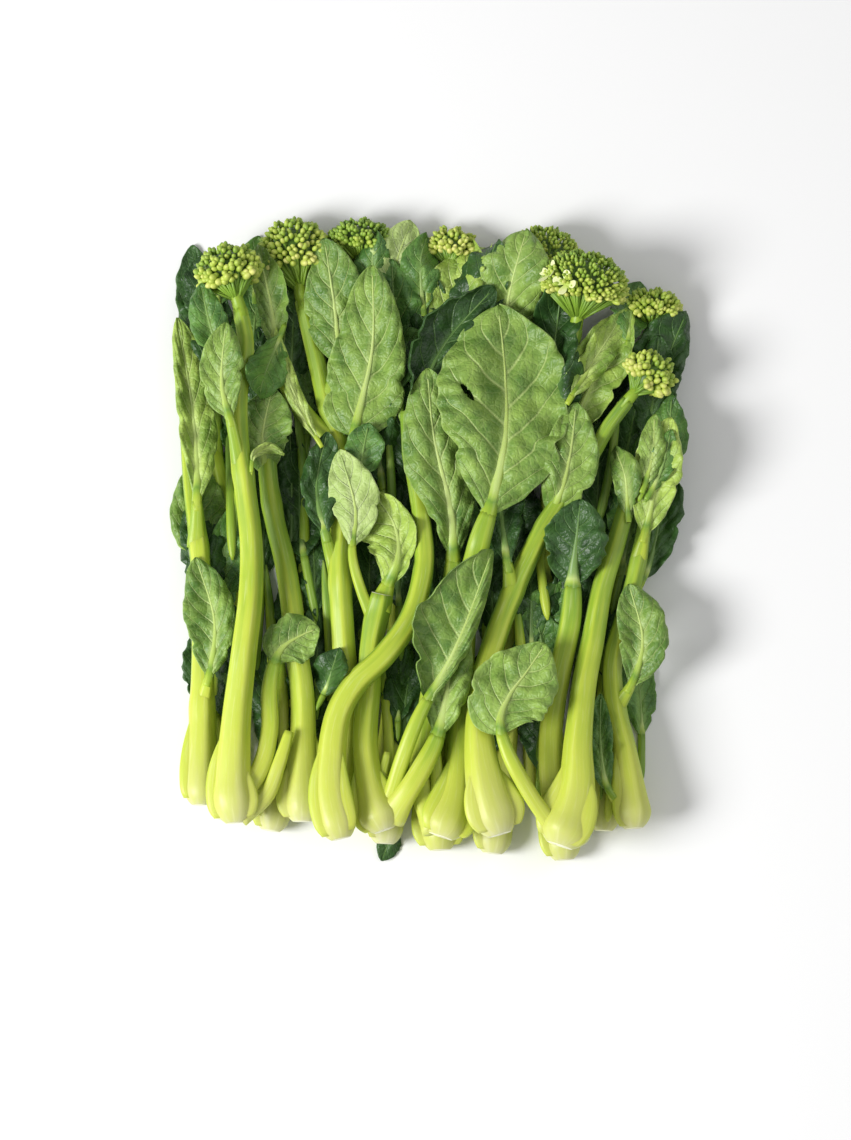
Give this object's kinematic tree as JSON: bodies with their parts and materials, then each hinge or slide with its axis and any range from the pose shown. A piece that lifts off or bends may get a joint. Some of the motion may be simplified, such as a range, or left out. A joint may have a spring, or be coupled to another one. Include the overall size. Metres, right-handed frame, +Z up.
{
  "type": "baby choy sum bunch",
  "caption": "Loose bunch of young flowering choy sum as cut, lying on its side, stems parallel, leaves and bud heads at one end.",
  "frame": {"origin": "middle of the bunch's box in plan, on the surface that it lies on", "axes": "+Y along the stems, from the cut butts to the flower buds; +X across the bunch; +Z up from the surface that it lies on"},
  "size_m": [0.162, 0.201, 0.0312],
  "materials": {
    "stem": "smooth, waxy, moist",
    "leaf": "matt with a soft sheen",
    "light_leaf": "matt underside",
    "dark_leaf": "soft sheen",
    "buds": "matt"
  },
  "bodies": {
    "root": {"back_1_stem": "stem", "back_1_leaf_1": "dark_leaf", "back_1_leaf_2": "leaf", "back_2_stem": "stem", "back_2_leaf_1": "dark_leaf", "back_2_leaf_2": "dark_leaf", "back_3_stem": "stem", "back_3_buds": "buds", "back_3_leaf_1": "dark_leaf", "back_3_leaf_2": "light_leaf", "back_4_stem": "stem", "back_4_buds": "buds", "back_4_leaf_1": "dark_leaf", "back_4_leaf_2": "light_leaf", "back_5_stem": "stem", "back_5_buds": "buds", "back_5_leaf_1": "leaf", "back_6_stem": "stem", "back_6_buds": "buds", "back_6_leaf_1": "dark_leaf", "back_6_leaf_2": "light_leaf", "back_7_stem": "stem", "back_7_buds": "buds", "back_7_leaf_1": "dark_leaf", "back_7_leaf_2": "dark_leaf", "middle_stem": "stem", "middle_buds": "buds", "middle_leaf_1": "leaf", "middle_leaf_2": "leaf", "middle_leaf_3": "leaf", "middle_leaf_4": "dark_leaf", "front_1_stem": "stem", "front_1_leaf_1": "light_leaf", "front_1_leaf_2": "leaf", "front_3_stem": "stem", "front_3_leaf_1": "leaf", "front_2_stem": "stem", "front_2_buds": "buds", "front_2_leaf_1": "leaf", "front_2_leaf_2": "leaf", "front_5_stem": "stem", "front_5_leaf_1": "light_leaf", "front_5_leaf_2": "light_leaf", "front_5_leaf_3": "leaf", "front_5_leaf_4": "leaf", "front_4_stem": "stem", "front_4_leaf_1": "dark_leaf", "front_9_stem": "stem", "front_9_leaf_1": "leaf", "front_9_leaf_2": "light_leaf", "front_6_stem": "stem", "front_6_leaf_1": "leaf", "front_6_leaf_2": "leaf", "front_7_stem": "stem", "front_7_buds": "buds", "front_7_leaf_1": "dark_leaf", "front_7_leaf_2": "leaf", "front_8_stem": "stem", "front_8_leaf_1": "dark_leaf", "front_8_leaf_2": "leaf"}
  },
  "joints": []
}
